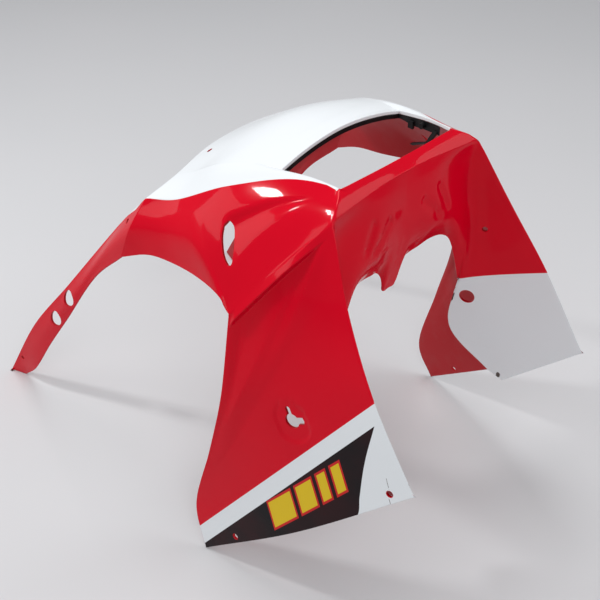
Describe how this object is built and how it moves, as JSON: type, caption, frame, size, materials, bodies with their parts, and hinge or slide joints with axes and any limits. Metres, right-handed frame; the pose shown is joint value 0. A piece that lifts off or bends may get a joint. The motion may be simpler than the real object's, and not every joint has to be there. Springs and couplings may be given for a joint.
{
  "type": "motorcycle fairing",
  "caption": "Upper front cowl of a sport motorcycle: a thin moulding with a headlight opening, screen arms and side flanks, and a black bracket strip under the opening's lip.",
  "frame": {"origin": "centre of the bounding box at its lowest plane, where the tips of the screen arms and the rear lower corners of the flanks touch", "axes": "+X towards the underside of the machine, +Y to its left flank, +Z to its front, so the part stands nose up"},
  "size_m": [0.641, 0.4, 0.453],
  "materials": {
    "cowl_paint": "glossy red paint with white fields on the hood and the lower flanks",
    "bracket_black": "satin black plastic"
  },
  "bodies": {
    "root": {"upper_cowl": "cowl_paint", "headlight_bracket": "bracket_black"}
  },
  "joints": []
}
